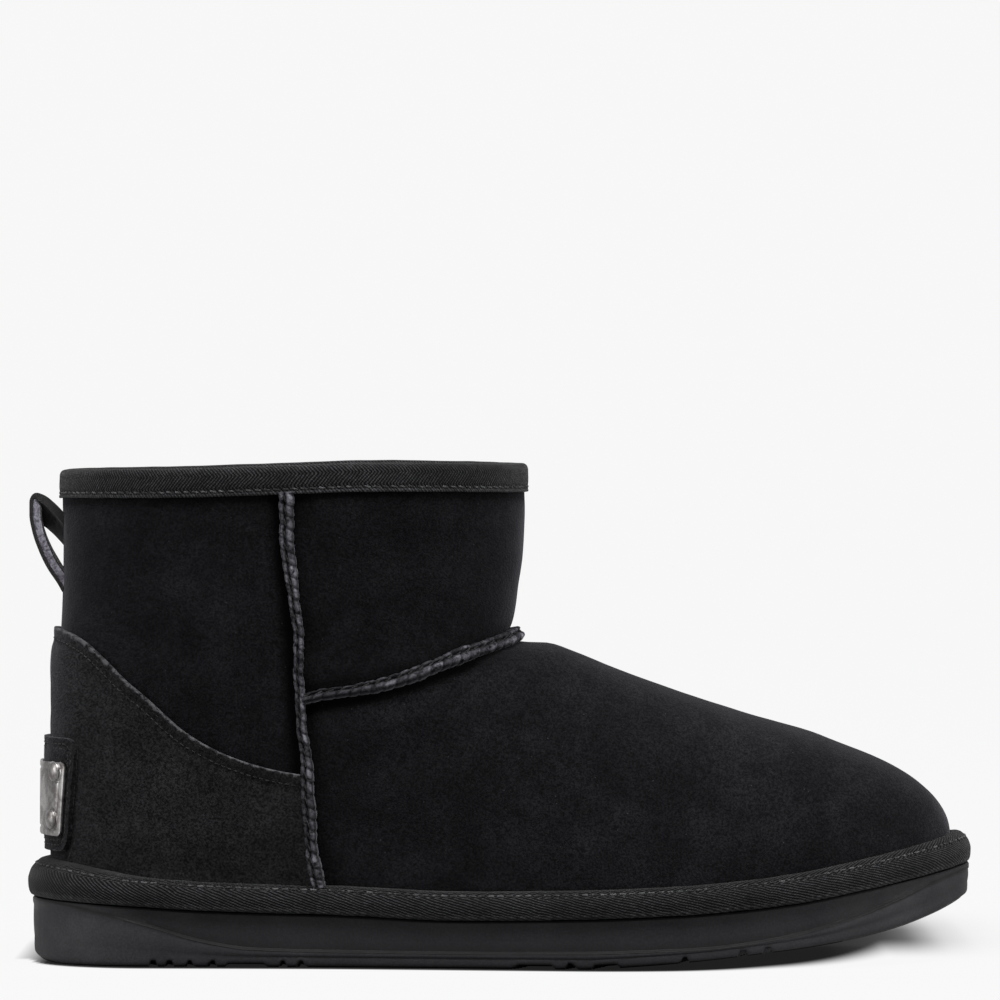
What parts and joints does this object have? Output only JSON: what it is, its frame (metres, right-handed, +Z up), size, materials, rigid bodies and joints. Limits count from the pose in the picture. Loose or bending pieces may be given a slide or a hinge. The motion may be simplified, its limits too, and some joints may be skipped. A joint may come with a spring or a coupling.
{
  "type": "sheepskin ankle boot",
  "caption": "Ankle-high sheepskin boot: hollow suede upper with raised seams and heel counter, taped collar and welt, flat foam sole with toe spring, heel pull loop and riveted heel plate.",
  "frame": {"origin": "on the floor, under the middle of the boot's length and breadth", "axes": "+X to the toe, +Y to the inner side of the right foot, +Z up"},
  "size_m": [0.275, 0.0985, 0.145],
  "materials": {
    "sole_foam": "matt moulded foam",
    "twill_tape": "woven twill tape with sewn edge",
    "fleece": "short wool pile",
    "suede": "suede with a short nap",
    "counter_suede": "suede brushed a little lighter",
    "patch_suede": "suede with a sewn edge",
    "strap_cloth": "smooth woven strap with a light core",
    "plate_steel": "brushed, darkened",
    "rivet_steel": "domed, darkened"
  },
  "bodies": {
    "root": {"sole": "sole_foam", "welt_binding": "twill_tape", "insole": "fleece", "upper": "suede", "heel_counter": "counter_suede", "collar_binding": "twill_tape", "pull_loop": "strap_cloth", "badge_patch": "patch_suede", "badge_plate": "plate_steel", "badge_rivet_1": "rivet_steel", "badge_rivet_2": "rivet_steel", "badge_rivet_3": "rivet_steel", "badge_rivet_4": "rivet_steel"}
  },
  "joints": []
}
